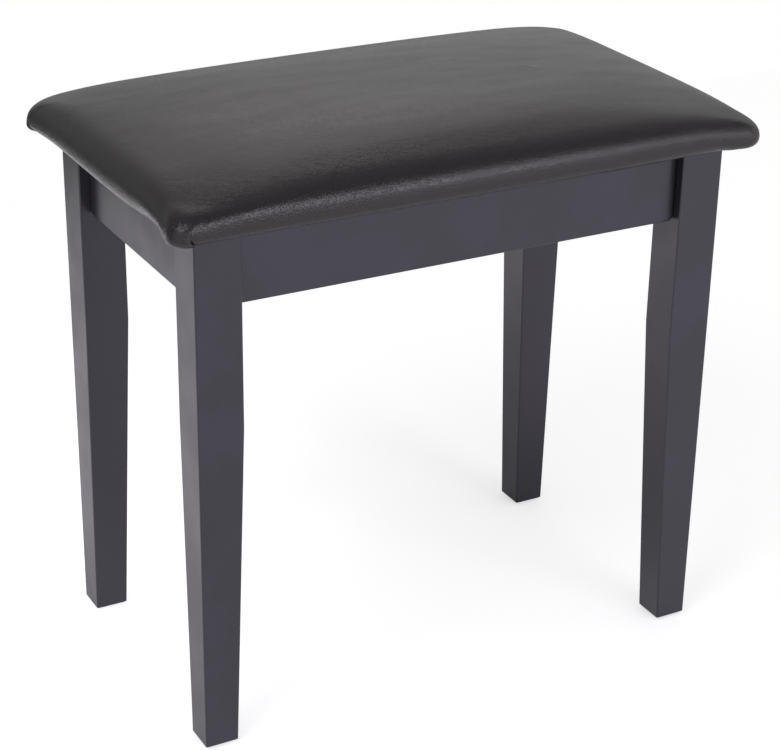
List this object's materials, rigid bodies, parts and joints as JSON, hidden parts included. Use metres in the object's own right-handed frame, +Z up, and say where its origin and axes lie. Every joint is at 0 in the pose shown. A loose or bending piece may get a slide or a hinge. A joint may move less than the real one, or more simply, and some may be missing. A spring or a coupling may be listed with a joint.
{
  "type": "piano bench",
  "caption": "Fixed-height piano bench: crowned leatherette seat over set-back black wooden aprons and bolted legs tapered on their inner faces.",
  "frame": {"origin": "on the floor, at the middle of the bench", "axes": "+X along the bench to the right, +Y from front to back, +Z up"},
  "size_m": [0.519, 0.317, 0.499],
  "materials": {
    "black_lacquer": "semi-gloss black lacquer on hardwood",
    "raw_pine": "planed, unfinished",
    "plywood": "sanded, unfinished",
    "zinc_steel": "bright zinc plated",
    "glide_plastic": "matt",
    "foam": "open-cell polyurethane foam",
    "leatherette": "fine pebble grain, satin",
    "dust_cloth": "spunbonded non-woven"
  },
  "bodies": {
    "root": {"leg_front_left": "black_lacquer", "leg_front_right": "black_lacquer", "leg_rear_left": "black_lacquer", "leg_rear_right": "black_lacquer", "glide_front_left": "glide_plastic", "glide_front_right": "glide_plastic", "glide_rear_left": "glide_plastic", "glide_rear_right": "glide_plastic", "apron_front": "black_lacquer", "apron_rear": "black_lacquer", "apron_left": "black_lacquer", "apron_right": "black_lacquer", "batten_front": "raw_pine", "batten_rear": "raw_pine", "bracket_front_left": "zinc_steel", "bracket_front_right": "zinc_steel", "bracket_rear_left": "zinc_steel", "bracket_rear_right": "zinc_steel", "hanger_bolts": "zinc_steel", "leg_washers": "zinc_steel", "leg_spring_washers": "zinc_steel", "leg_nuts": "zinc_steel", "bracket_screws": "zinc_steel", "batten_screws": "zinc_steel", "seat_screws": "zinc_steel", "seat_board": "plywood", "seat_foam": "foam", "seat_cover": "leatherette", "dust_cover": "dust_cloth", "cover_staples": "zinc_steel", "dust_staples": "zinc_steel"}
  },
  "joints": []
}
